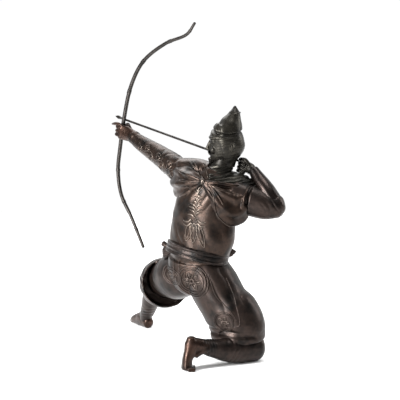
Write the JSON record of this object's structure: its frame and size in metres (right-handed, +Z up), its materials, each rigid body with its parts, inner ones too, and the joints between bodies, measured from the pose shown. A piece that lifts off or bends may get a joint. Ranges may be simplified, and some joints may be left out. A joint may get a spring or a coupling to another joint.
{
  "type": "kneeling samurai archer statue",
  "caption": "Cast bronze statue of a kneeling archer in a tall folded cap and baggy trousers, aiming a long bow and arrow; it rests on a knee, bent toes and the forward sole.",
  "frame": {"origin": "centre of the whole object's outline seen from above, on the ground that the knee, the toes and the sole rest on", "axes": "+Z up; +Y away from the side that the picture shows, which is the man's back; +X to the right of the picture, towards his drawn right elbow"},
  "size_m": [0.1758, 0.2166, 0.3274],
  "materials": {
    "figure_bronze": "dark brown patinated bronze, semi-gloss, warmer on the raised work",
    "bow_bronze": "near-black patinated bronze, satin",
    "arrow_bronze": "near-black patinated bronze, satin"
  },
  "bodies": {
    "root": {"figure": "figure_bronze", "bow": "bow_bronze", "arrow": "arrow_bronze"}
  },
  "joints": []
}
